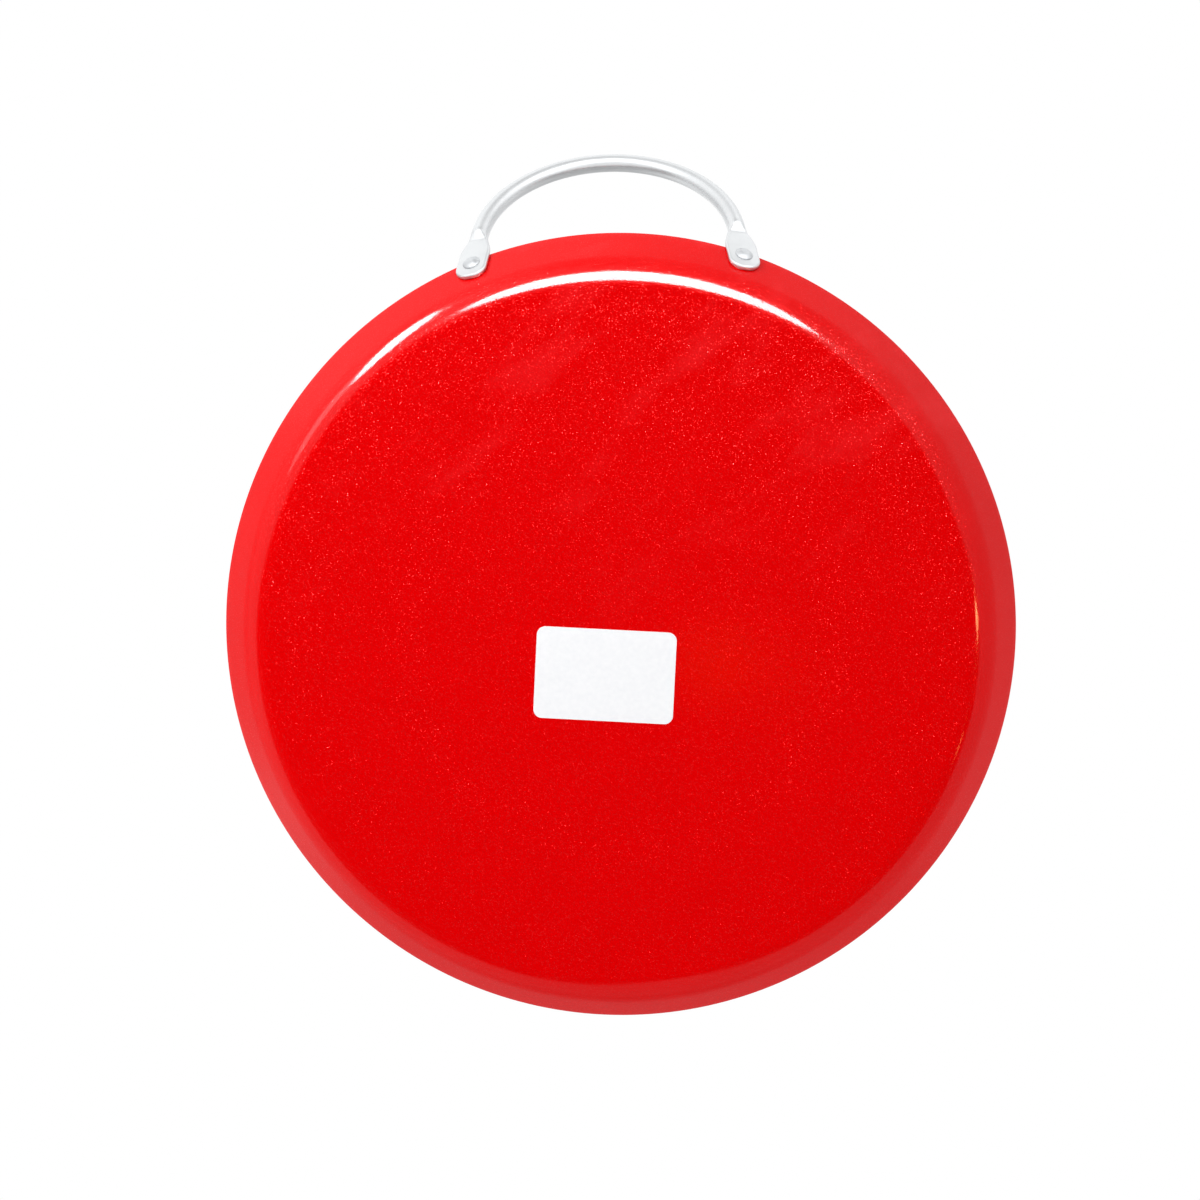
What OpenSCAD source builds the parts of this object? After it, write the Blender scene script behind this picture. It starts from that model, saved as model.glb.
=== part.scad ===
// Comal: a low round griddle pan pressed from one sheet, with one arched tube handle riveted to its wall.
// Millimetres, +Z up, cooking side up, handle toward +Y.
// The origin is on the pan's axis, in the plane that the pan rests on.

/* [Pan] */
// Diameter over the rim
rim_d = 280; // [220:1:340]
// Thickness of the pressed sheet
sheet_t = 2.0; // [1:0.1:3]
// Height of the pan from the table to the rim
pan_h = 18.5; // [16:0.5:30]
// Slope of the wall above the horizontal, in degrees
wall_angle = 57; // [45:1:70]
// Radius of the bend between base and wall, on its outside
bend_r = 13; // [8:0.5:18]

/* [Base] */
// How far the middle of the base stands off the table, so that it stays stable when hot
crown_h = 0.6; // [0.3:0.1:1.5]
// Radius of the flat middle of the base
crown_r = 50; // [46:1:70]
// Width of the flat ring that the pan rests on
rest_w = 11; // [6:1:20]
// Number of small cones that make up the rise from the ring to the middle
crown_steps = 8; // [4:1:16]

/* [Handle] */
// Outside diameter of the tube
tube_d = 6.35; // [5:0.05:10]
// Wall of the tube
tube_t = 1.0; // [0.6:0.1:1.5]
// Lean of each leg toward the middle, in the plane of the handle, in degrees
leg_lean = 7.7; // [4:0.1:15]
// Straight length of each leg, from the rivet to where the arch starts
leg_l = 16.4; // [15:0.1:30]
// Thickness of a flattened end
paddle_t = 2.0; // [1.4:0.1:3]
// Width of a flattened end
paddle_w = 11.4; // [8:0.1:14]
// Length of a flattened end past the rivet
paddle_end = 6.8; // [5:0.1:9]
// Thickness that is left at the tip, where its edge is rounded off
paddle_tip_t = 0.8; // [0.4:0.1:1.4]
// Radius of the corners at a flattened end
paddle_corner_r = 4.9; // [1:0.1:5.6]
// Distance from the rivet to where the paddle starts to narrow
paddle_wide_l = 5.3; // [2:0.1:8]
// Distance from the rivet to where the tube starts to thicken again
paddle_flat_l = 12.8; // [9:0.1:14]

/* [Rivets] */
// Distance between the two rivets, measured at the outside of the wall
rivet_span = 93.9; // [70:0.1:120]
// Distance of a rivet from the edge of the rim, along the slope
rivet_drop = 4.6; // [4:0.1:8]
// Diameter of a rivet's shank
shank_d = 4.0; // [3:0.1:5]
// Diameter of the formed head, over the paddle
head_d = 6.2; // [5:0.1:8]
// Height of that head
head_h = 1.4; // [0.8:0.1:2.5]
// Radius of the shallow dimple that the forming tool leaves in it
dimple_r = 5; // [3:0.5:10]
// Depth of that dimple
dimple_h = 0.15; // [0.05:0.05:0.3]
// Diameter of the low head inside the pan
inner_head_d = 8; // [6:0.1:10]
// Height of that low head
inner_head_h = 0.9; // [0.5:0.1:2]

/* [Label] */
// Width of the paper label, across the pan
label_w = 49; // [30:1:60]
// Length of the paper label, toward the handle
label_l = 32.5; // [20:0.5:40]
// Thickness of the paper with its glue
label_t = 0.1; // [0.08:0.01:0.2]
// Radius of its corners
label_corner_r = 3; // [1:0.5:6]
// How far its middle sits to the right of the pan's axis, as a share of the base's radius
label_right = 0.043; // [-0.08:0.001:0.08]
// How far its middle sits toward the handle, as a share of the base's radius
label_back = -0.111; // [-0.16:0.001:0.16]
// How far it is turned from the pan's own axis, in degrees
label_turn = 4.6; // [-20:0.2:20]

/* [Fits] */
// Gap between a shank and the holes it goes through, all round
hole_clear = 0.05; // [0.02:0.01:0.2]
// Gap between the round wall and the flat faces that are riveted on it
seat_clear = 0.05; // [0.02:0.01:0.2]

/* [Hidden] */
$fn = 128;
red = [0.86, 0.03, 0.05];
aluminium = [0.86, 0.87, 0.88];
paper_white = [0.95, 0.95, 0.93];

// Section of the pan: the outside of the wall starts where the bend ends and stops short of the rounded edge
edge_r = sheet_t / 2;
wall_top = [rim_d / 2 - edge_r + edge_r * sin(wall_angle), pan_h - edge_r - edge_r * cos(wall_angle)];
wall_foot_z = bend_r * (1 - cos(wall_angle));
wall_l = (wall_top.y - wall_foot_z) / sin(wall_angle);
wall_foot = wall_top - wall_l * [cos(wall_angle), sin(wall_angle)];
base_r = wall_foot.x - bend_r * sin(wall_angle);
rest_r = base_r - rest_w;

// Rivet on the outside of the wall, at the right side; the left side is its mirror image
rivet_rz = wall_top - (rivet_drop - edge_r) * [cos(wall_angle), sin(wall_angle)];
rivet_turn = asin(rivet_span / 2 / rivet_rz.x);
rivet_at = [rivet_rz.x * sin(rivet_turn), rivet_rz.x * cos(rivet_turn), rivet_rz.y];
wall_out = [sin(wall_angle) * sin(rivet_turn), sin(wall_angle) * cos(rivet_turn), -cos(wall_angle)];

// Slope of the handle: the leg lies along the wall there, so the tube runs on without a bend at the paddle
slope_a = sin(wall_angle) * cos(rivet_turn);
slope_b = cos(wall_angle);
slope_c = tan(leg_lean) * sin(wall_angle) * sin(rivet_turn);
handle_slope = acos(slope_c / norm([slope_a, slope_b])) - atan2(slope_b, slope_a);
handle_up = [0, cos(handle_slope), sin(handle_slope)];
leg_dir = -sin(leg_lean) * [1, 0, 0] + cos(leg_lean) * handle_up;

// Arch: a round arc that takes over from both legs
leg_at = rivet_at + (seat_clear + paddle_t / 2) * wall_out;
arch_r = (leg_at.x - leg_l * sin(leg_lean)) / cos(leg_lean);
arch_at = [0, leg_at.y, leg_at.z] + (leg_l * cos(leg_lean) - arch_r * sin(leg_lean)) * handle_up;
tube_r = tube_d / 2;

// The solid plug of each leg reaches a little way into the hollow arch, just under the tube's surface
plug_l = 2;
plug_skin = 0.02;

// Height of the base's underside at a distance from the axis
function crown_z(r) = crown_h * (1 + cos(180 * (r - crown_r) / (rest_r - crown_r))) / 2;

// Places on the rise between the flat middle and the rest ring
crown_radii = [for (i = [0 : crown_steps]) crown_r + (rest_r - crown_r) * i / crown_steps];

// Puts something drawn at the origin on the right rivet: its Z is out of the wall, its Y runs up the leg
module at_rivet() {
    across = cross(leg_dir, wall_out);
    multmatrix([for (i = [0 : 2]) [across[i], leg_dir[i], wall_out[i], rivet_at[i]]]) children();
}

// The same place on the left side
module at_left_rivet() {
    mirror([1, 0, 0]) at_rivet() children();
}

module rivet_hole() {
    cylinder(d = shank_d + 2 * hole_clear, h = 3 * (sheet_t + paddle_t), center = true);
}

// Everything in the half section that lies above one face of the sheet, at a depth from the outside:
// over the flat middle, the gentle rise and the rest ring, round the bend, and along the wall without end
module over_face(depth) {
    centre = [base_r, bend_r];
    foot = centre + (bend_r - depth) * [sin(wall_angle), -cos(wall_angle)];
    top = foot + rim_d * [cos(wall_angle), sin(wall_angle)];
    base = [[0, crown_h], for (r = crown_radii) [r, crown_z(r)], [base_r, 0]];
    translate(centre) circle(bend_r - depth);
    polygon([for (p = base) p + [0, depth], centre, foot, top, [0, top.y]]);
}

// Half section of the pan: the sheet between its two faces, cut off square to the wall, with a rounded edge
module pan_section() {
    difference() {
        over_face(0);
        over_face(sheet_t);
        translate(wall_top) rotate(wall_angle) translate([0, -rim_d]) square(2 * rim_d);
    }
    translate(wall_top) rotate(wall_angle) translate([0, edge_r]) circle(edge_r, $fn = 48);
}

module pan() {
    color(red) difference() {
        rotate_extrude($fn = 256) pan_section();
        at_rivet() rivet_hole();
        at_left_rivet() rivet_hole();
    }
}

// Width of the flattened tube at a distance s from the rivet:
// rounded end, full width, then narrowing to the tube at the end of the leg
function paddle_width(s) =
    let (
        into = s + paddle_end,
        corner = max(paddle_corner_r - into, 0),
        trim = paddle_corner_r - sqrt(pow(paddle_corner_r, 2) - pow(min(corner, paddle_corner_r), 2)),
        part = min(max((s - paddle_wide_l) / (leg_l - paddle_wide_l), 0), 1)
    )
    paddle_w - 2 * trim - (paddle_w - tube_d + 2 * plug_skin) * (1 - cos(180 * part)) / 2;

// Thickness of the flattened tube at a distance s from the rivet:
// rounded off at the tip, flat, then a straight ramp up to the tube
function paddle_thickness(s) =
    let (
        into = min(max((s + paddle_end) / (paddle_t / 2), 0), 1),
        round_off = (paddle_t - paddle_tip_t) * (1 - sqrt(into * (2 - into))),
        part = min(max((s - paddle_flat_l) / (leg_l - paddle_flat_l), 0), 1)
    )
    paddle_t - round_off + (tube_d - 2 * plug_skin - paddle_t) * part;

// Outline of the flattened tube at s: two half rounds joined by flats
round_steps = 12;
function paddle_ring(s) =
    let (
        r = paddle_thickness(s) / 2,
        shift = max(paddle_width(s) / 2 - r, 0)
    )
    [
        for (side = [1, -1], i = [0.5 : round_steps])
            let (a = -90 + 180 * i / round_steps)
            [side * (shift + r * cos(a)), s, side * r * sin(a)]
    ];

// One end of the handle, from the tip of its paddle to the start of the arch,
// as a skin over rings along the leg
module paddle() {
    tip = [for (i = [0 : 6]) -paddle_end + paddle_corner_r * (1 - cos(15 * i))];
    narrowing = [for (i = [0 : 6]) paddle_wide_l + (paddle_flat_l - paddle_wide_l) * i / 6];
    shoulder = [for (i = [1 : 8]) paddle_flat_l + (leg_l - paddle_flat_l) * i / 8];
    stations = concat(tip, narrowing, shoulder, [leg_l + plug_l]);
    points = [for (s = stations) each paddle_ring(s)];
    around = 2 * round_steps;
    rings = len(stations);
    sides = [
        for (k = [0 : rings - 2], i = [0 : around - 1])
            let (a = k * around, b = a + around, j = (i + 1) % around)
            each [[a + i, a + j, b + j], [a + i, b + j, b + i]]
    ];
    tip_cap = [for (i = [around - 1 : -1 : 0]) i];
    plug_cap = [for (i = [0 : around - 1]) (rings - 1) * around + i];
    translate([0, 0, seat_clear + paddle_t / 2]) polyhedron(points, concat(sides, [tip_cap, plug_cap]));
}

// The hollow arch in the plane of the handle
module arch() {
    lay = [[1, 0, 0], handle_up, cross([1, 0, 0], handle_up)];
    multmatrix([for (i = [0 : 2]) [lay[0][i], lay[1][i], lay[2][i], arch_at[i]]])
        rotate(leg_lean) rotate_extrude(angle = 180 - 2 * leg_lean) translate([arch_r, 0]) difference() {
            circle(tube_r, $fn = 64);
            circle(tube_r - tube_t, $fn = 64);
        }
}

module handle() {
    color(aluminium) difference() {
        union() {
            arch();
            at_rivet() paddle();
            at_left_rivet() paddle();
        }
        at_rivet() rivet_hole();
        at_left_rivet() rivet_hole();
    }
}

// A low domed head that stands on z = 0
module dome(d, h) {
    ball_r = (pow(d / 2, 2) + pow(h, 2)) / (2 * h);
    intersection() {
        translate([0, 0, h - ball_r]) sphere(ball_r);
        translate([-d, -d, 0]) cube(2 * d);
    }
}

module rivet() {
    inner_z = -sheet_t - 2 * seat_clear;
    outer_z = paddle_t + 2 * seat_clear;
    difference() {
        union() {
            translate([0, 0, inner_z]) cylinder(d = shank_d, h = outer_z - inner_z);
            translate([0, 0, inner_z]) mirror([0, 0, 1]) dome(inner_head_d, inner_head_h);
            translate([0, 0, outer_z]) dome(head_d, head_h);
        }
        translate([0, 0, outer_z + head_h - dimple_h + dimple_r]) sphere(dimple_r);
    }
}

module rivet_right() {
    color(aluminium) at_rivet() rivet();
}

module rivet_left() {
    color(aluminium) at_left_rivet() rivet();
}

// Flat paper with rounded corners, stuck on the flat middle of the base from below
module label() {
    half = [label_w / 2, label_l / 2] - [label_corner_r, label_corner_r];
    middle = [label_right * base_r, label_back * base_r, crown_h - label_t];
    color(paper_white) translate(middle) rotate(label_turn)
        linear_extrude(label_t) {
            square([label_w, 2 * half.y], center = true);
            square([2 * half.x, label_l], center = true);
            for (x = [-1, 1], y = [-1, 1]) translate([x * half.x, y * half.y]) circle(label_corner_r);
        }
}

pan();
handle();
rivet_left();
rivet_right();
label();
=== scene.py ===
import math

import bmesh
import bpy
from mathutils import Matrix, Vector


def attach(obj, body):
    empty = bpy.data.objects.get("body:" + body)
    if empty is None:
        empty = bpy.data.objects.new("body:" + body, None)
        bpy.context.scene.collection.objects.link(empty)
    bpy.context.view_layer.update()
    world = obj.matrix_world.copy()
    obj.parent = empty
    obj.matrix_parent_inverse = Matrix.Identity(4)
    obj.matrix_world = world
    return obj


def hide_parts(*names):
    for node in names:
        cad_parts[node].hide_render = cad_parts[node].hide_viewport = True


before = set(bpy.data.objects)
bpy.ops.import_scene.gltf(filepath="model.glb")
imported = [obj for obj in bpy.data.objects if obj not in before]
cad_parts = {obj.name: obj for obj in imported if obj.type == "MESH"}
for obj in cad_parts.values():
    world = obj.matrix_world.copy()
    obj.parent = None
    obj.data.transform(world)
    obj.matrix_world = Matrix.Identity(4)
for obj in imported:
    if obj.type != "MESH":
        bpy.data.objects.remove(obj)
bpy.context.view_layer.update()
print("frame loaded:", ", ".join(sorted(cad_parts)))

# A comal seen from below: pressed pan, bent tube handle, two rivets and a paper label.
# Metres, +Z up, cooking side up, handle toward +Y, base ring on z = 0.
mm = 0.001


# Camera: below the pan, a little toward the handle, image up is +Y and image right is -X

camera = {
    "distance": 1200 * mm,
    "towardHandle": math.radians(8.21),
    "towardRight": math.radians(1.60),
    "roll": math.radians(-1.83),
    "pixelsPerMetre": 2861.9,        # at the pan's origin
    "originPixel": (618.6, 636.9),   # where the pan's origin falls in the picture
    "picturePixels": 1200,
    "sensor": 36,
    "clipStart": 10 * mm,
}


def addCamera(settings):
    toward, side = settings["towardHandle"], settings["towardRight"]
    seat = Vector((-math.sin(side) * math.cos(toward), math.sin(toward), -math.cos(side) * math.cos(toward)))
    forward = -seat
    up = (Vector((0, 1, 0)) - forward * forward.y).normalized()
    right = forward.cross(up)
    cosRoll, sinRoll = math.cos(settings["roll"]), math.sin(settings["roll"])
    rolledRight = cosRoll * right + sinRoll * up
    rolledUp = cosRoll * up - sinRoll * right

    # aim past the origin, so that it falls on its own pixel with no lens shift
    middle = settings["picturePixels"] / 2
    acrossPixels = middle - settings["originPixel"][0]
    upPixels = settings["originPixel"][1] - middle
    aim = (acrossPixels * rolledRight + upPixels * rolledUp) / settings["pixelsPerMetre"]
    place = settings["distance"] * seat
    look = (aim - place).normalized()
    lookUp = (rolledUp - look * rolledUp.dot(look)).normalized()
    lookRight = look.cross(lookUp)

    bpy.ops.object.camera_add()
    made = bpy.context.object
    made.name = "photoCamera"
    turn = Matrix((lookRight, lookUp, -look)).transposed()
    made.matrix_world = Matrix.Translation(place) @ turn.to_4x4()
    made.data.sensor_width = settings["sensor"]
    pixelShare = settings["pixelsPerMetre"] / settings["picturePixels"]
    made.data.lens = settings["sensor"] * settings["distance"] * pixelShare
    made.data.clip_start = settings["clipStart"]
    bpy.context.scene.camera = made


addCamera(camera)
bpy.context.scene.view_settings.view_transform = "Standard"  # keeps the red as pure as it is
print("camera set")


# Sizes of the pan, and what the other pieces take from them

pan = {
    "rimRadius": 140 * mm,
    "height": 18.5 * mm,
    "sheet": 2 * mm,
    "wallAngle": math.radians(57),
    "bendRadius": 13 * mm,        # outside of the bend
    "crownHeight": 0.6 * mm,      # the middle of the base stands off the table
    "crownRadius": 50 * mm,
    "restWidth": 11 * mm,         # flat ring that the pan rests on
    "hubRadius": 10 * mm,         # small disc that the turning starts from
    "around": 256,
    "crownSteps": 12,
    "bendSteps": 20,
    "wallSteps": 4,
    "edgeShare": 0.98,            # of half the sheet, so that the two rounds of the edge don't meet
    "edgeSegments": 6,
    "edgeAngle": math.radians(60),
}

edgeRadius = pan["sheet"] / 2
upWall = Vector((math.cos(pan["wallAngle"]), math.sin(pan["wallAngle"])))  # (outward, up)
offWall = Vector((upWall.y, -upWall.x))
wallTop = Vector((pan["rimRadius"] - edgeRadius, pan["height"] - edgeRadius)) + edgeRadius * offWall
wallFootHeight = pan["bendRadius"] * (1 - upWall.x)
wallLength = (wallTop.y - wallFootHeight) / upWall.y
wallFoot = wallTop - wallLength * upWall
baseRadius = wallFoot.x - pan["bendRadius"] * upWall.y
restRadius = baseRadius - pan["restWidth"]

handle = {
    "tubeRadius": 6.35 / 2 * mm,
    "legLean": math.radians(7.7),
    "legLength": 16.4 * mm,       # from the rivet to where the arch starts
    "paddleThick": 2 * mm,
    "paddleWide": 11.4 * mm,
    "paddleEnd": 6.8 * mm,        # past the rivet
    "tipThick": 0.8 * mm,         # what is left where the tip's edge is rounded off
    "cornerRadius": 4.9 * mm,
    "wideUntil": 5.3 * mm,        # distances from the rivet, up the leg
    "flatUntil": 12.8 * mm,
    "seatGap": 0.05 * mm,
    "around": 48,
    "tipSteps": 14,
    "narrowSteps": 10,
    "rampSteps": 8,
    "archSteps": 40,
    "smoothAngle": math.radians(40),
}

rivet = {
    "span": 93.9 * mm,
    "drop": 4.6 * mm,             # from the rim's edge, down the slope
    "shankRadius": 2 * mm,
    "headRadius": 3.1 * mm,
    "headHeight": 1.4 * mm,
    "headEdge": 0.15 * mm,
    "dimpleRadius": 1.2 * mm,
    "dimpleFlat": 0.7,            # share of the dimple's radius that is flat
    "dimpleDepth": 0.15 * mm,
    "dimpleSteps": 3,             # steps of the dome that the dimple takes up
    "innerHeadRadius": 4 * mm,
    "innerHeadHeight": 0.9 * mm,
    "hubRadius": 0.4 * mm,        # small disc that the turning starts from
    "around": 48,
    "domeSteps": 8,
    "smoothAngle": math.radians(50),
}

# Place of the right rivet on the outside of the wall, and the slope of the handle that lets its leg lie there
rivetSpot = wallTop - (rivet["drop"] - edgeRadius) * upWall
rivetTurn = math.asin(rivet["span"] / 2 / rivetSpot.x)
rivetAt = Vector((rivetSpot.x * math.sin(rivetTurn), rivetSpot.x * math.cos(rivetTurn), rivetSpot.y))
wallOut = Vector((offWall.x * math.sin(rivetTurn), offWall.x * math.cos(rivetTurn), offWall.y))
leanPull = math.tan(handle["legLean"]) * wallOut.x
handleSlope = math.acos(leanPull / wallOut.yz.length) - math.atan2(-wallOut.z, wallOut.y)
handleUp = Vector((0, math.cos(handleSlope), math.sin(handleSlope)))
legUp = math.cos(handle["legLean"]) * handleUp - math.sin(handle["legLean"]) * Vector((1, 0, 0))


def rivetFrame(side):
    # places something drawn at the origin on a rivet: its Z out of the wall, its Y up the leg
    flip = Vector((side, 1, 1))
    leg, out = legUp * flip, wallOut * flip
    turn = Matrix((leg.cross(out), leg, out)).transposed()
    return Matrix.Translation(rivetAt * flip) @ turn.to_4x4()


# Modelling helpers

def startAlone():
    if bpy.context.mode != "OBJECT":
        bpy.ops.object.mode_set(mode="OBJECT")
    bpy.ops.object.select_all(action="DESELECT")


def nameIt(piece, name):
    piece.name = name
    piece.data.name = name


def pickPoints(piece, test):
    bpy.ops.mesh.select_all(action="DESELECT")
    grid = bmesh.from_edit_mesh(piece.data)
    for point in grid.verts:
        if test(point.co):
            point.select_set(True)
    grid.select_flush(True)
    bmesh.update_edit_mesh(piece.data)


def applyPlace(piece, place=None):
    if place is not None:
        piece.matrix_world = place
    bpy.ops.object.transform_apply(location=True, rotation=True, scale=True)


def finishWith(piece, kind, **settings):
    modifier = piece.modifiers.new(kind.lower(), kind)
    for key, value in settings.items():
        setattr(modifier, key, value)
    bpy.ops.object.modifier_apply(modifier=modifier.name)


def dress(piece, slotName, *materials):
    piece.data.materials.clear()
    for material in materials:
        piece.data.materials.append(material)


def turnProfile(name, profile, around):
    # turns (radius, height) points into a skin, ring by ring, starting with a small disc on the axis
    startAlone()
    radius, height = profile[0]
    bpy.ops.mesh.primitive_circle_add(vertices=around, radius=radius, fill_type="TRIFAN")
    piece = bpy.context.object
    nameIt(piece, name)
    bpy.ops.object.mode_set(mode="EDIT")
    bpy.ops.transform.translate(value=(0, 0, height))
    pickPoints(piece, lambda point: point.xy.length > radius / 2)
    for newRadius, newHeight in profile[1:]:
        bpy.ops.mesh.extrude_region_move(TRANSFORM_OT_translate={"value": (0, 0, newHeight - height)})
        grow = newRadius / radius
        bpy.ops.transform.resize(value=(grow, grow, 1), center_override=(0, 0, newHeight))
        radius, height = newRadius, newHeight
    return piece


# Materials

mixShare, mixFrom, mixTo, mixResult = 0, 6, 7, 2  # sockets of a Mix node that mixes colours


def hexColor(code):
    values = [int(code[at:at + 2], 16) / 255 for at in (1, 3, 5)]
    linear = [v / 12.92 if v <= 0.04045 else ((v + 0.055) / 1.055) ** 2.4 for v in values]
    return (*linear, 1)


def addNode(tree, kind, links=None, **settings):
    node = tree.nodes.new(kind)
    for key, value in settings.items():
        setattr(node, key, value)
    for socket, value in (links or {}).items():
        if isinstance(value, bpy.types.NodeSocket):
            tree.links.new(value, node.inputs[socket])
        else:
            node.inputs[socket].default_value = value
    return node


def newMaterial(name, fixed):
    # a principled material with the values that are the same all over set on its own sockets
    material = bpy.data.materials.new(name)
    material.use_nodes = True
    shader = material.node_tree.nodes["Principled BSDF"]
    for socket, value in fixed.items():
        shader.inputs[socket].default_value = value
    return material, material.node_tree, shader


def connect(tree, shader, sockets):
    for socket, output in sockets.items():
        tree.links.new(output, shader.inputs[socket])


def bakedRedEnamel():
    # Red enamel baked on aluminium sheet: a deep pure red, mica flakes that glint,
    # and a wet clear skin over both
    look = {
        "red": "#E60003",
        "deepRed": "#DE0002",
        "flake": "#FF3434",
        # paler red laid on the smudges: partly real handling marks, partly a painted sheen of the lamp
        "smudgeSheen": "#EE1E22",
        "cloud": 22 * mm,            # slow change of the red
        "smearLong": 75 * mm,        # faint handling smears, wiped one way, painted as a paler red: partly real marks, partly painted sheen
        "smearWide": 24 * mm,
        "smearTurn": math.radians(145),
        "smearNoise": (0.53, 0.75),  # where in the noise a smear starts and is full
        "smudgeSheenShows": (0.03, 0.85),
        "sheenFrom": -30 * mm,       # painted sheen: they grow stronger from here toward the handle, the side the main lamp shines from
        "sheenUntil": 120 * mm,
        "flakeCell": 0.45 * mm,      # drawn a little coarse, so that each flake still fills a pixel
        "flakeEdge": (0.27, 0.19),   # cells from a flake's middle: where it ends, and where it is full
        "coreEdge": (0.16, 0.1),     # the same for the part that breaks the skin's shine
        "flakeTilt": 0.54,
        "flakeMetal": 0.45,
        "roughness": (0.42, 0.27),   # of the red, and of a flake
        "peel": 1.8 * mm,            # orange peel of the clear skin
        "peelDepth": 0.002 * mm,
    }
    material, tree, shader = newMaterial("bakedRedEnamel", {
        "IOR": 1.5, "Specular IOR Level": 0.0,
        "Coat Weight": 0.45, "Coat Roughness": 0.1, "Coat IOR": 1.5})
    place = addNode(tree, "ShaderNodeTexCoord").outputs["Object"]
    clouds = addNode(tree, "ShaderNodeTexNoise", {
        "Vector": place, "Scale": 1 / look["cloud"], "Detail": 3.0})
    reds = addNode(tree, "ShaderNodeMix", {
        mixShare: clouds.outputs["Fac"],
        mixFrom: hexColor(look["deepRed"]), mixTo: hexColor(look["red"])}, data_type="RGBA")

    # Handling smudges painted as a paler red that grows toward the handle side, where the main lamp shines:
    # partly real marks, partly painted sheen
    smearPlace = addNode(tree, "ShaderNodeMapping", {
        "Vector": place, "Rotation": (0, 0, look["smearTurn"]),
        "Scale": (look["smearLong"], look["smearWide"], look["smearWide"])}, vector_type="TEXTURE")
    smudgeSheenNoise = addNode(tree, "ShaderNodeTexNoise", {
        "Vector": smearPlace.outputs[0], "Scale": 1.0, "Detail": 5.0, "Roughness": 0.62})
    smudgeSheenMask = addNode(tree, "ShaderNodeMapRange", {
        "Value": smudgeSheenNoise.outputs["Fac"],
        "From Min": look["smearNoise"][0], "From Max": look["smearNoise"][1],
        "To Min": look["smudgeSheenShows"][0], "To Max": look["smudgeSheenShows"][1]})
    across = addNode(tree, "ShaderNodeSeparateXYZ", {0: place})
    lampSideSheen = addNode(tree, "ShaderNodeMapRange", {
        "Value": across.outputs["Y"], "From Min": look["sheenFrom"], "From Max": look["sheenUntil"]},
        interpolation_type="SMOOTHSTEP")
    smudgeSheen = addNode(tree, "ShaderNodeMath", {
        0: smudgeSheenMask.outputs[0], 1: lampSideSheen.outputs[0]}, operation="MULTIPLY")
    redWithSmudgeSheen = addNode(tree, "ShaderNodeMix", {
        mixShare: smudgeSheen.outputs[0],
        mixFrom: reds.outputs[mixResult], mixTo: hexColor(look["smudgeSheen"])}, data_type="RGBA")

    flakes = addNode(tree, "ShaderNodeTexVoronoi", {"Vector": place, "Scale": 1 / look["flakeCell"]})
    mask = addNode(tree, "ShaderNodeMapRange", {
        "Value": flakes.outputs["Distance"],
        "From Min": look["flakeEdge"][0], "From Max": look["flakeEdge"][1]}).outputs[0]
    speckled = addNode(tree, "ShaderNodeMix", {
        mixShare: mask, mixFrom: redWithSmudgeSheen.outputs[mixResult], mixTo: hexColor(look["flake"])}, data_type="RGBA")
    metal = addNode(tree, "ShaderNodeMath", {0: mask, 1: look["flakeMetal"]}, operation="MULTIPLY")
    rough = addNode(tree, "ShaderNodeMapRange", {
        "Value": mask, "To Min": look["roughness"][0], "To Max": look["roughness"][1]})

    # each flake's random colour, taken from its middle value, is the way it leans
    lean = addNode(tree, "ShaderNodeVectorMath", {
        0: flakes.outputs["Color"], 1: (0.5, 0.5, 0.5)}, operation="SUBTRACT")
    leanAmount = addNode(tree, "ShaderNodeMath", {0: mask, 1: look["flakeTilt"]}, operation="MULTIPLY")
    leanScaled = addNode(tree, "ShaderNodeVectorMath", {
        0: lean.outputs[0], "Scale": leanAmount.outputs[0]}, operation="SCALE")
    facing = addNode(tree, "ShaderNodeNewGeometry").outputs["Normal"]
    tilted = addNode(tree, "ShaderNodeVectorMath", {0: facing, 1: leanScaled.outputs[0]}, operation="ADD")
    flakeNormal = addNode(tree, "ShaderNodeVectorMath", {0: tilted.outputs[0]}, operation="NORMALIZE")

    peel = addNode(tree, "ShaderNodeTexNoise", {"Vector": place, "Scale": 1 / look["peel"], "Detail": 1.0})
    skin = addNode(tree, "ShaderNodeBump", {
        "Height": peel.outputs["Fac"], "Distance": look["peelDepth"], "Strength": 1.0})

    # the middle of a flake stands near enough to the surface to break the skin's shine too
    core = addNode(tree, "ShaderNodeMapRange", {
        "Value": flakes.outputs["Distance"],
        "From Min": look["coreEdge"][0], "From Max": look["coreEdge"][1], "To Max": look["flakeTilt"]})
    coreLean = addNode(tree, "ShaderNodeVectorMath", {
        0: lean.outputs[0], "Scale": core.outputs[0]}, operation="SCALE")
    broken = addNode(tree, "ShaderNodeVectorMath", {
        0: skin.outputs[0], 1: coreLean.outputs[0]}, operation="ADD")
    skinNormal = addNode(tree, "ShaderNodeVectorMath", {0: broken.outputs[0]}, operation="NORMALIZE")

    connect(tree, shader, {
        "Base Color": speckled.outputs[mixResult], "Metallic": metal.outputs[0],
        "Roughness": rough.outputs[0], "Normal": flakeNormal.outputs[0],
        "Coat Normal": skinNormal.outputs[0]})
    return material


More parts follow.
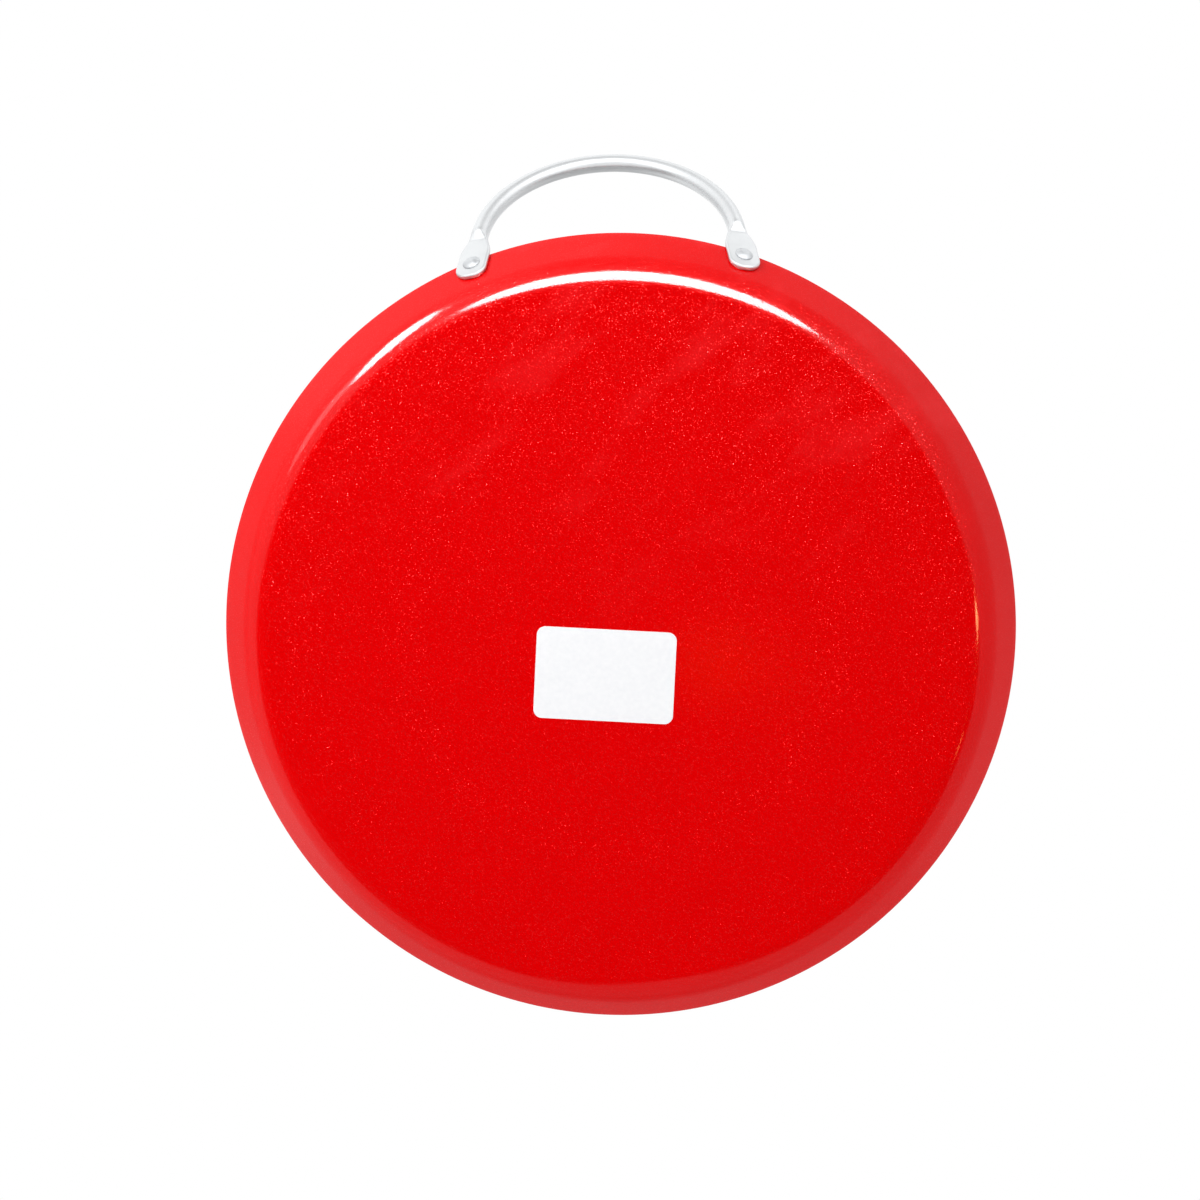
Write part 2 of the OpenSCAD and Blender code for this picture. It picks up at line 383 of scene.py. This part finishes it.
def darkNonStick():
    # Sprayed non-stick coating, cured: near black, dull, with fine pale grit in it
    look = {
        "dark": "#26272A",
        "darker": "#1B1C1F",
        "grit": "#77787B",
        "cloud": 30 * mm,
        "gritCell": 1.4 * mm,        # drawn a little coarse, so that it shows
        "gritEdge": (0.24, 0.14),    # cells from a grain's middle: where it ends, and where it is full
        "gritShows": 0.8,
        "grain": 0.5 * mm,
        "grainDepth": 0.01 * mm,
        "roughness": (0.38, 0.5),
    }
    material, tree, shader = newMaterial("darkNonStick", {"IOR": 1.4})
    place = addNode(tree, "ShaderNodeTexCoord").outputs["Object"]
    clouds = addNode(tree, "ShaderNodeTexNoise", {
        "Vector": place, "Scale": 1 / look["cloud"], "Detail": 4.0})
    darks = addNode(tree, "ShaderNodeMix", {
        mixShare: clouds.outputs["Fac"],
        mixFrom: hexColor(look["darker"]), mixTo: hexColor(look["dark"])}, data_type="RGBA")
    grit = addNode(tree, "ShaderNodeTexVoronoi", {"Vector": place, "Scale": 1 / look["gritCell"]})
    mask = addNode(tree, "ShaderNodeMapRange", {
        "Value": grit.outputs["Distance"],
        "From Min": look["gritEdge"][0], "From Max": look["gritEdge"][1], "To Max": look["gritShows"]})
    speckled = addNode(tree, "ShaderNodeMix", {
        mixShare: mask.outputs[0],
        mixFrom: darks.outputs[mixResult], mixTo: hexColor(look["grit"])}, data_type="RGBA")
    rough = addNode(tree, "ShaderNodeMapRange", {
        "Value": clouds.outputs["Fac"], "To Min": look["roughness"][0], "To Max": look["roughness"][1]})
    grain = addNode(tree, "ShaderNodeTexNoise", {
        "Vector": place, "Scale": 1 / look["grain"], "Detail": 2.0})
    bump = addNode(tree, "ShaderNodeBump", {
        "Height": grain.outputs["Fac"], "Distance": look["grainDepth"], "Strength": 1.0})
    connect(tree, shader, {
        "Base Color": speckled.outputs[mixResult], "Roughness": rough.outputs[0], "Normal": bump.outputs[0]})
    return material


def drawnAluminium(archMiddle):
    # Drawn aluminium tube, satin from the die: pale, bright, with faint lines along the tube round the arch
    look = {
        "bright": "#D7D9DA",
        "dull": "#CACCCE",
        "line": 0.5 * mm,            # spacing of the drawing lines
        "lineRun": 0.25,             # how slowly a line changes round the arch, in radians
        "lineDepth": 0.0006 * mm,
        "cloud": 6 * mm,
        "roughness": (0.28, 0.38),
    }
    material, tree, shader = newMaterial("drawnAluminium", {"Metallic": 0.8})
    place = addNode(tree, "ShaderNodeTexCoord").outputs["Object"]
    archTurn = Matrix((Vector((1, 0, 0)), handleUp, Vector((1, 0, 0)).cross(handleUp))).transposed()
    inArch = addNode(tree, "ShaderNodeMapping", {
        "Vector": place, "Location": archMiddle, "Rotation": archTurn.to_euler()}, vector_type="TEXTURE")
    parts = addNode(tree, "ShaderNodeSeparateXYZ", {0: inArch.outputs[0]}).outputs
    angle = addNode(tree, "ShaderNodeMath", {0: parts["Y"], 1: parts["X"]}, operation="ARCTAN2")
    flat = addNode(tree, "ShaderNodeCombineXYZ", {"X": parts["X"], "Y": parts["Y"], "Z": 0.0})
    reach = addNode(tree, "ShaderNodeVectorMath", {0: flat.outputs[0]}, operation="LENGTH")
    along = addNode(tree, "ShaderNodeMath", {
        0: angle.outputs[0], 1: look["line"] / look["lineRun"]}, operation="MULTIPLY")
    unrolled = addNode(tree, "ShaderNodeCombineXYZ", {
        "X": reach.outputs["Value"], "Y": parts["Z"], "Z": along.outputs[0]})
    lines = addNode(tree, "ShaderNodeTexNoise", {
        "Vector": unrolled.outputs[0], "Scale": 1 / look["line"], "Detail": 2.0})
    clouds = addNode(tree, "ShaderNodeTexNoise", {
        "Vector": place, "Scale": 1 / look["cloud"], "Detail": 3.0})
    metals = addNode(tree, "ShaderNodeMix", {
        mixShare: clouds.outputs["Fac"],
        mixFrom: hexColor(look["dull"]), mixTo: hexColor(look["bright"])}, data_type="RGBA")
    rough = addNode(tree, "ShaderNodeMapRange", {
        "Value": lines.outputs["Fac"], "To Min": look["roughness"][0], "To Max": look["roughness"][1]})
    bump = addNode(tree, "ShaderNodeBump", {
        "Height": lines.outputs["Fac"], "Distance": look["lineDepth"], "Strength": 1.0})
    connect(tree, shader, {
        "Base Color": metals.outputs[mixResult], "Roughness": rough.outputs[0], "Normal": bump.outputs[0]})
    return material


def formedAluminium():
    # Rivet aluminium, upset cold: bright, a little dented by the tool
    look = {
        "bright": "#D0D2D4",
        "dull": "#B9BCBF",
        "dent": 1.1 * mm,
        "dentDepth": 0.015 * mm,
        "roughness": (0.32, 0.44),
    }
    material, tree, shader = newMaterial("formedAluminium", {"Metallic": 0.8})
    place = addNode(tree, "ShaderNodeTexCoord").outputs["Object"]
    dents = addNode(tree, "ShaderNodeTexNoise", {
        "Vector": place, "Scale": 1 / look["dent"], "Detail": 2.0})
    metals = addNode(tree, "ShaderNodeMix", {
        mixShare: dents.outputs["Fac"],
        mixFrom: hexColor(look["dull"]), mixTo: hexColor(look["bright"])}, data_type="RGBA")
    rough = addNode(tree, "ShaderNodeMapRange", {
        "Value": dents.outputs["Fac"], "To Min": look["roughness"][0], "To Max": look["roughness"][1]})
    bump = addNode(tree, "ShaderNodeBump", {
        "Height": dents.outputs["Fac"], "Distance": look["dentDepth"], "Strength": 1.0})
    connect(tree, shader, {
        "Base Color": metals.outputs[mixResult], "Roughness": rough.outputs[0], "Normal": bump.outputs[0]})
    return material


def coatedPaper():
    # Coated label paper: cool white, smooth, with a faint fibre cloud
    look = {
        "white": "#FBFBFC",
        "shade": "#EFF0F3",
        "fibre": 1.5 * mm,
        "fibreDepth": 0.004 * mm,
        "roughness": (0.4, 0.55),
    }
    material, tree, shader = newMaterial("coatedPaper", {"IOR": 1.45})
    place = addNode(tree, "ShaderNodeTexCoord").outputs["Object"]
    fibres = addNode(tree, "ShaderNodeTexNoise", {
        "Vector": place, "Scale": 1 / look["fibre"], "Detail": 4.0})
    whites = addNode(tree, "ShaderNodeMix", {
        mixShare: fibres.outputs["Fac"],
        mixFrom: hexColor(look["shade"]), mixTo: hexColor(look["white"])}, data_type="RGBA")
    rough = addNode(tree, "ShaderNodeMapRange", {
        "Value": fibres.outputs["Fac"], "To Min": look["roughness"][0], "To Max": look["roughness"][1]})
    bump = addNode(tree, "ShaderNodeBump", {
        "Height": fibres.outputs["Fac"], "Distance": look["fibreDepth"], "Strength": 1.0})
    connect(tree, shader, {
        "Base Color": whites.outputs[mixResult], "Roughness": rough.outputs[0], "Normal": bump.outputs[0]})
    return material


# Pan: the outside skin is turned from the crown to the rim, then gets the sheet's thickness and a round edge

def crownZ(radius):
    share = (radius - pan["crownRadius"]) / (restRadius - pan["crownRadius"])
    return pan["crownHeight"] * (1 + math.cos(math.pi * share)) / 2


def panProfile():
    points = [(pan["hubRadius"], pan["crownHeight"]), (pan["crownRadius"], pan["crownHeight"])]
    for step in range(1, pan["crownSteps"] + 1):
        radius = pan["crownRadius"] + (restRadius - pan["crownRadius"]) * step / pan["crownSteps"]
        points.append((radius, crownZ(radius)))
    points.append((baseRadius, 0))
    for step in range(1, pan["bendSteps"] + 1):
        angle = pan["wallAngle"] * step / pan["bendSteps"]
        outward, up = pan["bendRadius"] * math.sin(angle), pan["bendRadius"] * (1 - math.cos(angle))
        points.append((baseRadius + outward, up))
    for step in range(1, pan["wallSteps"] + 1):
        spot = wallFoot + (wallLength + edgeRadius) * step / pan["wallSteps"] * upWall
        points.append((spot.x, spot.y))
    return points


def makePan():
    piece = turnProfile("panBody", panProfile(), pan["around"])
    bpy.ops.mesh.select_all(action="SELECT")
    bpy.ops.mesh.flip_normals()  # the skin is the underside, so it faces down and out
    bpy.ops.object.mode_set(mode="OBJECT")
    applyPlace(piece)
    dress(piece, "red_coating", bakedRedEnamel(), darkNonStick())
    finishWith(piece, "SOLIDIFY", thickness=pan["sheet"], offset=-1, use_even_offset=True,
               material_offset=1)  # the inside takes the second material
    finishWith(piece, "BEVEL", width=pan["edgeShare"] * edgeRadius, segments=pan["edgeSegments"],
               limit_method="ANGLE", angle_limit=pan["edgeAngle"])
    bpy.ops.object.shade_smooth()
    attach(piece, "root")
    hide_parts("pan")


makePan()
print("pan done")


# Handle: the right half is drawn from the tip of its paddle to the top of the arch, then mirrored

def paddleSection(distance):
    # half distance between the two half rounds of the section, and their radius
    intoTip = distance + handle["paddleEnd"]
    short = max(handle["cornerRadius"] - intoTip, 0)
    trim = handle["cornerRadius"] - math.sqrt(handle["cornerRadius"] ** 2 - short ** 2)
    narrow = (distance - handle["wideUntil"]) / (handle["legLength"] - handle["wideUntil"])
    narrow = (1 - math.cos(math.pi * min(max(narrow, 0), 1))) / 2
    tubeWide = 2 * handle["tubeRadius"]
    wide = handle["paddleWide"] - 2 * trim - (handle["paddleWide"] - tubeWide) * narrow
    intoEdge = min(2 * intoTip / handle["paddleThick"], 1)
    roundOff = (handle["paddleThick"] - handle["tipThick"]) * (1 - math.sqrt(intoEdge * (2 - intoEdge)))
    rise = (distance - handle["flatUntil"]) / (handle["legLength"] - handle["flatUntil"])
    thick = handle["paddleThick"] - roundOff + (tubeWide - handle["paddleThick"]) * min(max(rise, 0), 1)
    return max(wide - thick, 0) / 2, thick / 2


def paddleStations():
    corner, tip = handle["cornerRadius"], -handle["paddleEnd"]
    quarter = math.pi / 2
    stations = [tip + corner * (1 - math.cos(quarter * step / handle["tipSteps"]))
                for step in range(handle["tipSteps"] + 1)]
    narrowRun = handle["flatUntil"] - handle["wideUntil"]
    stations += [handle["wideUntil"] + narrowRun * step / handle["narrowSteps"]
                 for step in range(handle["narrowSteps"] + 1)]
    rampRun = handle["legLength"] - handle["flatUntil"]
    stations += [handle["flatUntil"] + rampRun * step / handle["rampSteps"]
                 for step in range(1, handle["rampSteps"] + 1)]
    return stations


legStart = rivetAt + (handle["seatGap"] + handle["paddleThick"] / 2) * wallOut
archRadius = (legStart.x - handle["legLength"] * math.sin(handle["legLean"])) / math.cos(handle["legLean"])
archRise = handle["legLength"] * math.cos(handle["legLean"]) - archRadius * math.sin(handle["legLean"])
archMiddle = Vector((0, legStart.y, legStart.z)) + archRise * handleUp


def makeHandle():
    startAlone()
    stations = paddleStations()
    here = stations[0]
    apart, radius = paddleSection(here)
    halfStep = math.pi / handle["around"]  # so that no point lies on the line between the half rounds
    bpy.ops.mesh.primitive_circle_add(vertices=handle["around"], radius=radius, rotation=(0, 0, halfStep))
    piece = bpy.context.object
    nameIt(piece, "tubeHandle")
    applyPlace(piece)
    piece.rotation_euler = (math.pi / 2, 0, 0)
    piece.location = (0, here, 0)
    applyPlace(piece)
    bpy.ops.object.mode_set(mode="EDIT")
    tiny = radius / 100  # well below the spacing of the points
    for side in (1, -1):
        pickPoints(piece, lambda point: point.x * side > 0)
        bpy.ops.transform.translate(value=(side * apart, 0, 0))
    pickPoints(piece, lambda point: True)
    for there in stations[1:]:
        newApart, newRadius = paddleSection(there)
        bpy.ops.mesh.extrude_region_move(TRANSFORM_OT_translate={"value": (0, there - here, 0)})
        grow = newRadius / radius
        for side in (1, -1):
            pickPoints(piece, lambda point: point.x * side > 0 and point.y > there - tiny)
            bpy.ops.transform.resize(value=(grow, 1, grow), center_override=(side * apart, there, 0))
            bpy.ops.transform.translate(value=(side * (newApart - apart), 0, 0))
        pickPoints(piece, lambda point: point.y > there - tiny)
        here, apart, radius = there, newApart, newRadius
    pickPoints(piece, lambda point: point.y < stations[0] + tiny)
    bpy.ops.mesh.edge_face_add()  # closes the tip
    bpy.ops.object.mode_set(mode="OBJECT")
    seat = Matrix.Translation((0, 0, handle["seatGap"] + handle["paddleThick"] / 2))
    applyPlace(piece, rivetFrame(1) @ seat)

    # the arch, from the leg's end to the middle
    legEnd = legStart + handle["legLength"] * legUp
    bpy.ops.object.mode_set(mode="EDIT")
    pickPoints(piece, lambda point: abs((point - legEnd).dot(legUp)) < tiny)
    bpy.ops.mesh.spin(steps=handle["archSteps"], angle=math.pi / 2 - handle["legLean"], center=archMiddle,
                      axis=handleUp.cross(Vector((1, 0, 0))))
    pickPoints(piece, lambda point: abs(point.x) < tiny)
    bpy.ops.transform.resize(value=(0, 1, 1), center_override=(0, 0, 0))
    bpy.ops.mesh.select_all(action="SELECT")
    bpy.ops.mesh.remove_doubles(threshold=tiny)
    bpy.ops.object.mode_set(mode="OBJECT")
    finishWith(piece, "MIRROR", use_axis=(True, False, False), use_clip=True, merge_threshold=tiny)
    bpy.ops.object.mode_set(mode="EDIT")
    bpy.ops.mesh.select_all(action="SELECT")
    bpy.ops.mesh.remove_doubles(threshold=tiny)
    bpy.ops.mesh.normals_make_consistent(inside=False)
    bpy.ops.object.mode_set(mode="OBJECT")
    bpy.ops.object.shade_smooth_by_angle(angle=handle["smoothAngle"])
    dress(piece, "satin_aluminium", drawnAluminium(archMiddle))
    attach(piece, "root")
    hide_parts("handle")


makeHandle()
print("handle done")


# Rivets: turned once round the shank, then placed on the right and copied to the left

def domePoints(radius, height, base, direction, stepsFrom):
    # points down a low dome from near its top to its edge
    ball = (radius ** 2 + height ** 2) / (2 * height)
    widest = math.asin(radius / ball)
    points = []
    for step in range(stepsFrom, rivet["domeSteps"] + 1):
        angle = widest * step / rivet["domeSteps"]
        points.append((ball * math.sin(angle), base + direction * (height - ball * (1 - math.cos(angle)))))
    return points


def rivetProfile():
    top = handle["paddleThick"] + 2 * handle["seatGap"]
    bottom = -pan["sheet"] - 2 * handle["seatGap"]
    edge = rivet["headEdge"]
    dimpleFloor = top + rivet["headHeight"] - rivet["dimpleDepth"]
    points = [(rivet["hubRadius"], dimpleFloor), (rivet["dimpleFlat"] * rivet["dimpleRadius"], dimpleFloor)]
    points += domePoints(rivet["headRadius"], rivet["headHeight"] - edge, top + edge, 1, rivet["dimpleSteps"])
    points += [(rivet["headRadius"], top), (rivet["shankRadius"], top), (rivet["shankRadius"], bottom)]
    inner = domePoints(rivet["innerHeadRadius"], rivet["innerHeadHeight"], bottom, -1, 1)
    points += reversed(inner)
    return points


def makeRivets():
    right = turnProfile("rivetRight", rivetProfile(), rivet["around"])
    bpy.ops.mesh.edge_face_add()  # closes the low head inside the pan
    bpy.ops.mesh.select_all(action="SELECT")
    bpy.ops.mesh.normals_make_consistent(inside=False)
    bpy.ops.object.mode_set(mode="OBJECT")
    bpy.ops.object.shade_smooth_by_angle(angle=rivet["smoothAngle"])
    metal = formedAluminium()
    bpy.ops.object.duplicate()
    left = bpy.context.object
    nameIt(left, "rivetLeft")
    for piece, side, node in ((left, -1, "rivet_left"), (right, 1, "rivet_right")):
        startAlone()
        piece.select_set(True)
        bpy.context.view_layer.objects.active = piece
        applyPlace(piece, rivetFrame(side))
        dress(piece, "rivet_aluminium", metal)
        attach(piece, "root")
        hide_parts(node)


makeRivets()
print("rivets done")


# Label: a bare paper sticker on the underside of the base

label = {
    "wide": 49 * mm,
    "long": 32.5 * mm,
    "thick": 0.1 * mm,
    "cornerRadius": 3 * mm,
    "cornerSteps": 10,
    "right": 0.043 * baseRadius,
    "back": -0.111 * baseRadius,
    "turn": math.radians(4.6),
    "smoothAngle": math.radians(30),
}


def makeLabel():
    startAlone()
    bpy.ops.mesh.primitive_plane_add(size=1)
    piece = bpy.context.object
    nameIt(piece, "paperLabel")
    piece.scale = (label["wide"], label["long"], 1)
    applyPlace(piece)
    bpy.ops.object.mode_set(mode="EDIT")
    bpy.ops.mesh.bevel(affect="VERTICES", offset=label["cornerRadius"], segments=label["cornerSteps"])
    bpy.ops.mesh.select_all(action="SELECT")
    bpy.ops.mesh.extrude_region_move(TRANSFORM_OT_translate={"value": (0, 0, label["thick"])})
    bpy.ops.mesh.select_all(action="SELECT")
    bpy.ops.mesh.normals_make_consistent(inside=False)
    bpy.ops.object.mode_set(mode="OBJECT")
    spot = Vector((label["right"], label["back"], pan["crownHeight"] - label["thick"]))
    applyPlace(piece, Matrix.Translation(spot) @ Matrix.Rotation(label["turn"], 4, "Z"))
    bpy.ops.object.shade_smooth_by_angle(angle=label["smoothAngle"])
    dress(piece, "label_paper", coatedPaper())
    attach(piece, "root")
    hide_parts("label")


makeLabel()
print("label done")


# Stage: a pale floor that the photographed view, from below, looks through. Whatever has come through it
# once goes through it freely, so the lamps below light that view only.

floor = {
    "size": 3,
    "drop": 0.2 * mm,            # below the ring that the pan rests on
    "solidUntil": 0.7,           # from the middle; it fades into the backdrop from here
    "goneAt": 1.4,
    "color": "#F4F4F2",
}


def paleFloor():
    material = bpy.data.materials.new("paleFloor")
    material.use_nodes = True
    tree = material.node_tree
    tree.nodes.remove(tree.nodes["Principled BSDF"])
    place = addNode(tree, "ShaderNodeTexCoord").outputs["Object"]
    reach = addNode(tree, "ShaderNodeVectorMath", {0: place}, operation="LENGTH")
    fade = addNode(tree, "ShaderNodeMapRange", {
        "Value": reach.outputs["Value"], "From Min": floor["solidUntil"], "From Max": floor["goneAt"],
        "To Min": 1.0, "To Max": 0.0}, interpolation_type="SMOOTHSTEP")
    through = addNode(tree, "ShaderNodeLightPath").outputs["Transparent Depth"]
    first = addNode(tree, "ShaderNodeMath", {0: through, 1: 0.5}, operation="LESS_THAN")  # not through yet
    under = addNode(tree, "ShaderNodeNewGeometry").outputs["Backfacing"]
    over = addNode(tree, "ShaderNodeMath", {0: 1.0, 1: under}, operation="SUBTRACT")
    seen = addNode(tree, "ShaderNodeMath", {0: over.outputs[0], 1: first.outputs[0]}, operation="MULTIPLY")
    solid = addNode(tree, "ShaderNodeMath", {0: seen.outputs[0], 1: fade.outputs[0]}, operation="MULTIPLY")
    clear = addNode(tree, "ShaderNodeBsdfTransparent")
    pale = addNode(tree, "ShaderNodeBsdfDiffuse", {"Color": hexColor(floor["color"])})
    mixed = addNode(tree, "ShaderNodeMixShader", {
        0: solid.outputs[0], 1: clear.outputs[0], 2: pale.outputs[0]})
    tree.links.new(mixed.outputs[0], tree.nodes["Material Output"].inputs["Surface"])
    return material


def makeFloor():
    startAlone()
    bpy.ops.mesh.primitive_plane_add(size=floor["size"], location=(0, 0, -floor["drop"]))
    plane = bpy.context.object
    plane.name = "floor"
    plane.data.materials.append(paleFloor())


makeFloor()


# Light: directions are given as the picture shows them, off the straight-down axis and round from image
# right. "on" keeps a lamp to some of the pieces, so that coating and bright metal each have their own shine.

nearHandle = (0, 0.15, 0.03)
lampDefaults = {"at": (0, 0, 0), "away": 1.0, "shape": "ELLIPSE", "tilt": 0, "tint": "#FFFFFF"}
lights = [
    {"name": "mainShine", "off": 34, "round": 85, "at": (0, 0.125, 0), "size": (0.90, 0.52),
     "radiance": 58, "shows": "glossy", "on": "coating"},
    {"name": "mainGlow", "off": 34, "round": 86, "size": (0.80, 0.54), "shape": "RECTANGLE",
     "radiance": 2, "shows": "diffuse", "on": "all"},
    {"name": "leftShine", "off": 65, "round": 130.8, "at": (0.085, 0.09, 0.005), "size": (0.28, 0.50),
     "tilt": -30, "radiance": 58, "shows": "glossy", "on": "coating"},
    {"name": "leftTail", "off": 66, "round": 150, "at": (0.1, 0.07, 0.005), "size": (0.36, 0.28),
     "radiance": 4, "shows": "glossy", "on": "coating"},
    {"name": "leftGlow", "off": 55, "round": 128, "away": 0.6, "size": (0.4, 0.4), "shape": "RECTANGLE",
     "radiance": 2.8, "shows": "diffuse", "on": "coating"},
    {"name": "rightGlint", "off": 34, "round": -13, "at": (-0.125, 0, 0.001), "size": (0.06, 0.13),
     "radiance": 45, "tint": "#FFC080", "shows": "glossy", "on": "coating"},
    {"name": "lowGlint", "off": 38, "round": -33, "at": (-0.12, -0.04, 0.001), "size": (0.03, 0.1),
     "radiance": 16, "tint": "#FFA860", "shows": "glossy", "on": "coating"},
    {"name": "midGlint", "off": 8.7, "round": -93, "at": (-0.042, -0.010, 0), "size": (0.06, 0.05),
     "radiance": 3.2, "tint": "#FF5010", "shows": "glossy", "on": "coating"},
    {"name": "rightFill", "off": 80, "round": -50, "away": 0.6, "size": (0.6, 0.6), "shape": "RECTANGLE",
     "radiance": 1.15, "shows": "diffuse", "on": "coating"},
    {"name": "lowLeftFill", "off": 80, "round": -140, "away": 0.6, "size": (0.6, 0.6), "shape": "RECTANGLE",
     "radiance": 1.15, "shows": "diffuse", "on": "coating"},
    {"name": "upRightFill", "off": 100, "round": 40, "away": 0.6, "size": (0.6, 0.6), "shape": "RECTANGLE",
     "radiance": 0.3, "shows": "diffuse", "on": "coating"},
    {"name": "metalGlow", "off": 20, "round": 150, "at": nearHandle, "size": (0.8, 0.8), "shape": "RECTANGLE",
     "radiance": 1.2, "shows": "diffuse", "on": "metal"},
    {"name": "metalFront", "off": 15, "round": 85, "at": nearHandle, "size": (2.4, 2.4),
     "radiance": 1.15, "shows": "glossy", "on": "metal"},
    {"name": "metalSide", "off": 98, "round": 90, "at": nearHandle, "size": (1.6, 1.4),
     "radiance": 0.13, "shows": "glossy", "on": "metal"},
    {"name": "metalLowRight", "off": 102, "round": 58, "at": nearHandle, "size": (0.8, 0.8),
     "radiance": 0.3, "shows": "glossy", "on": "metal"},
    {"name": "metalFarRight", "off": 84, "round": -3, "at": nearHandle, "size": (0.8, 0.8),
     "radiance": 0.4, "shows": "glossy", "on": "metal"},
    {"name": "metalShine", "off": 40, "round": 90, "at": nearHandle, "size": (1.0, 0.7),
     "radiance": 0.7, "shows": "glossy", "on": "metal"},
    {"name": "metalTable", "off": 171.6, "round": -90, "at": (0, 0.13, 0.045), "away": 0.02,
     "size": (0.7, 0.7), "shape": "RECTANGLE", "radiance": 0.35, "shows": "glossy", "on": "metal"},
    {"name": "metalInside", "off": 52, "round": -90, "at": (0, 0.16, 0.055), "away": 0.07,
     "size": (0.2, 0.07), "shape": "RECTANGLE", "radiance": 0.55, "shows": "glossy", "on": "metal"},
    {"name": "metalRight", "off": 70, "round": 42, "at": nearHandle, "size": (1.0, 0.9),
     "radiance": 0.9, "shows": "glossy", "on": "metal"},
    {"name": "metalLeft", "off": 70, "round": 138, "at": nearHandle, "size": (1.0, 0.9),
     "radiance": 0.35, "shows": "glossy", "on": "metal"},
    {"name": "overhead", "off": 180, "round": 90, "away": 1.4, "size": (1.6, 1.6), "shape": "RECTANGLE",
     "radiance": 1.2, "shows": "both", "on": "notMetal"},
    {"name": "metalOver", "off": 180, "round": 90, "away": 1.4, "size": (1.6, 1.6), "shape": "RECTANGLE",
     "radiance": 0.15, "shows": "both", "on": "metal"},
]
litGroups = {
    "coating": ("panBody", "paperLabel"),
    "notMetal": ("panBody", "paperLabel", "floor"),
    "metal": ("tubeHandle", "rivetLeft", "rivetRight"),
}


def pictureDirection(offDegrees, roundDegrees):
    off, around = math.radians(offDegrees), math.radians(roundDegrees)
    return Vector((-math.sin(off) * math.cos(around), math.sin(off) * math.sin(around), -math.cos(off)))


def addSoftbox(settings):
    toLight = pictureDirection(settings["off"], settings["round"])
    around = math.radians(settings["round"])
    tangent = Vector((math.sin(around), math.cos(around), 0))
    startAlone()
    bpy.ops.object.light_add(type="AREA")
    made = bpy.context.object
    made.name = settings["name"]
    turn = Matrix((tangent, toLight.cross(tangent), toLight)).transposed()
    place = Vector(settings["at"]) + settings["away"] * toLight
    tilt = Matrix.Rotation(math.radians(settings["tilt"]), 4, "Z")
    made.matrix_world = Matrix.Translation(place) @ turn.to_4x4() @ tilt
    lamp = made.data
    lamp.shape = settings["shape"]
    lamp.size, lamp.size_y = settings["size"]
    area = lamp.size * lamp.size_y * (math.pi / 4 if lamp.shape == "ELLIPSE" else 1)
    lamp.energy = settings["radiance"] * math.pi * area
    lamp.color = hexColor(settings["tint"])[:3]
    made.visible_camera = False
    made.visible_diffuse = settings["shows"] != "glossy"
    made.visible_glossy = settings["shows"] != "diffuse"
    if settings["on"] in litGroups:
        lit = bpy.data.collections.new(settings["name"])
        for piece in litGroups[settings["on"]]:
            lit.objects.link(bpy.data.objects[piece])
        made.light_linking.receiver_collection = lit


for lamp in lights:
    addSoftbox({**lampDefaults, **lamp})

surround = {
    "white": 0.82,               # pale room all round
    "lean": 0.28,                # how much brighter it is toward this side
    "leanRound": 140,
    "darkSpots": [               # where the camera stands, three places; the others are dim walls
        {"off": 7, "round": 200, "inner": 24, "outer": 32, "keep": 0.005},
        {"off": 32, "round": -45, "inner": 18, "outer": 24, "keep": 0.02},
        {"off": 35, "round": 217, "inner": 25, "outer": 33, "keep": 0.02},
        {"off": 84, "round": 75, "inner": 20, "outer": 36, "keep": 0.6},
        {"off": 122, "round": -90, "inner": 24, "outer": 46, "keep": 0.6},
        {"off": 114, "round": 180, "inner": 12, "outer": 32, "keep": 0.62},
    ],
}


def addSurround(settings):
    world = bpy.data.worlds.new("studio")
    world.use_nodes = True
    bpy.context.scene.world = world
    tree = world.node_tree
    direction = addNode(tree, "ShaderNodeTexCoord").outputs["Generated"]
    toBright = pictureDirection(90, settings["leanRound"])
    leaning = addNode(tree, "ShaderNodeVectorMath", {0: direction, 1: toBright}, operation="DOT_PRODUCT")
    strength = addNode(tree, "ShaderNodeMapRange", {
        "Value": leaning.outputs["Value"], "From Min": -1.0, "From Max": 1.0,
        "To Min": settings["white"] - settings["lean"], "To Max": settings["white"] + settings["lean"]})
    for spot in settings["darkSpots"]:
        toDark = pictureDirection(spot["off"], spot["round"])
        nearDark = addNode(tree, "ShaderNodeVectorMath", {0: direction, 1: toDark}, operation="DOT_PRODUCT")
        outer, inner = math.cos(math.radians(spot["outer"])), math.cos(math.radians(spot["inner"]))
        keep = addNode(tree, "ShaderNodeMapRange", {
            "Value": nearDark.outputs["Value"], "From Min": outer, "From Max": inner,
            "To Min": 1.0, "To Max": spot["keep"]}, interpolation_type="SMOOTHSTEP")
        strength = addNode(tree, "ShaderNodeMath", {
            0: strength.outputs[0], 1: keep.outputs[0]}, operation="MULTIPLY")
    room = addNode(tree, "ShaderNodeBackground", {"Color": (1, 1, 1, 1), "Strength": strength.outputs[0]})
    backdrop = addNode(tree, "ShaderNodeBackground", {"Color": (1, 1, 1, 1), "Strength": 1.0})
    seen = addNode(tree, "ShaderNodeLightPath").outputs["Is Camera Ray"]
    mixed = addNode(tree, "ShaderNodeMixShader", {0: seen, 1: room.outputs[0], 2: backdrop.outputs[0]})
    tree.links.new(mixed.outputs[0], tree.nodes["World Output"].inputs["Surface"])


addSurround(surround)
print("stage and light done")
